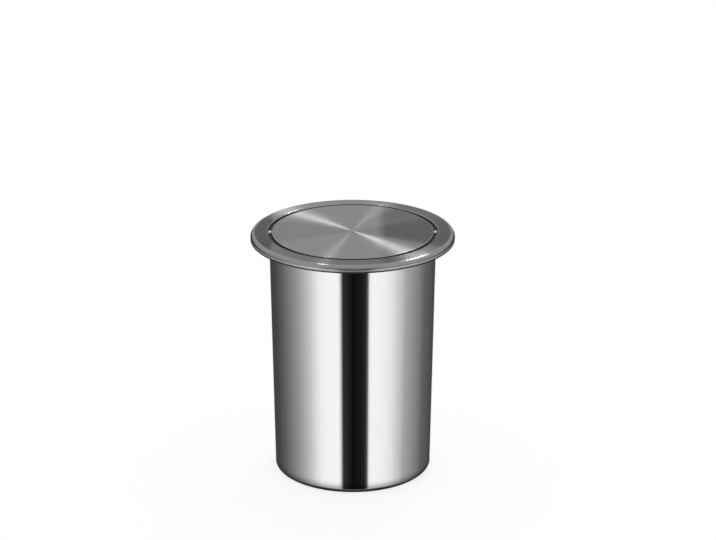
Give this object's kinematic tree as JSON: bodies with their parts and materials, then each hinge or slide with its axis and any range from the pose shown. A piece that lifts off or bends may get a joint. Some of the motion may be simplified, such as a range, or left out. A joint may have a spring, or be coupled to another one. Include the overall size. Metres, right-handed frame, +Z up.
{
  "type": "built-in countertop bin",
  "caption": "Round steel bin that hangs in a worktop cut-out, with a liner ring on its rolled rim and a flush lid whose weighted disc swings on two pins.",
  "frame": {"origin": "centre of the bin's footprint, on the plane its base stands on", "axes": "+Z up along the bucket's axis; X along the flap's pivot pins; -Y is the front, the side of the flap that is pushed down"},
  "size_m": [0.28, 0.28, 0.3451],
  "materials": {
    "polished_steel": "mirror-polished stainless steel, outside of the bucket and the liner ring",
    "brushed_steel": "stainless steel, brushed in circles on the lid's top",
    "plain_steel": "stainless steel as rolled, pins, clamps, wire and bracket",
    "black_rubber": "matt black rubber",
    "black_plastic": "black plastic strip",
    "nylon": "natural nylon",
    "cast_iron": "cast iron, painted dark"
  },
  "bodies": {
    "bucket": {"bucket_wall": "polished_steel", "bucket_base": "polished_steel", "rim_wire": "plain_steel"},
    "liner_ring": {"liner_ring": "polished_steel"},
    "lid_frame": {"frame_flange": "brushed_steel", "collar": "brushed_steel", "flange_gasket": "black_rubber", "recess_ring": "black_plastic", "pivot_bearing_left": "nylon", "pivot_bearing_right": "nylon", "stop_bracket": "plain_steel", "stop_bumper": "black_rubber", "stop_rivets": "plain_steel"},
    "flap": {"flap_disc": "brushed_steel", "flap_pan": "brushed_steel", "pin_clamp_left": "plain_steel", "pin_clamp_right": "plain_steel", "pivot_pin_left": "plain_steel", "pivot_pin_right": "plain_steel", "counterweight": "cast_iron", "weight_screws": "plain_steel", "weight_nuts": "plain_steel"}
  },
  "joints": [
    {"name": "ring_lift", "type": "slide", "parent": "bucket", "child": "liner_ring", "axis": [0, 0, 1], "range_m": [0, 0.0735]},
    {"name": "lid_lift", "type": "slide", "parent": "liner_ring", "child": "lid_frame", "axis": [0, 0, 1], "range_m": [0, 0.138]},
    {"name": "flap_swing", "type": "hinge", "parent": "lid_frame", "child": "flap", "pos_m": [0, 0, 0.3431], "axis": [-1, 0, 0], "range_deg": [-78, 0]}
  ]
}
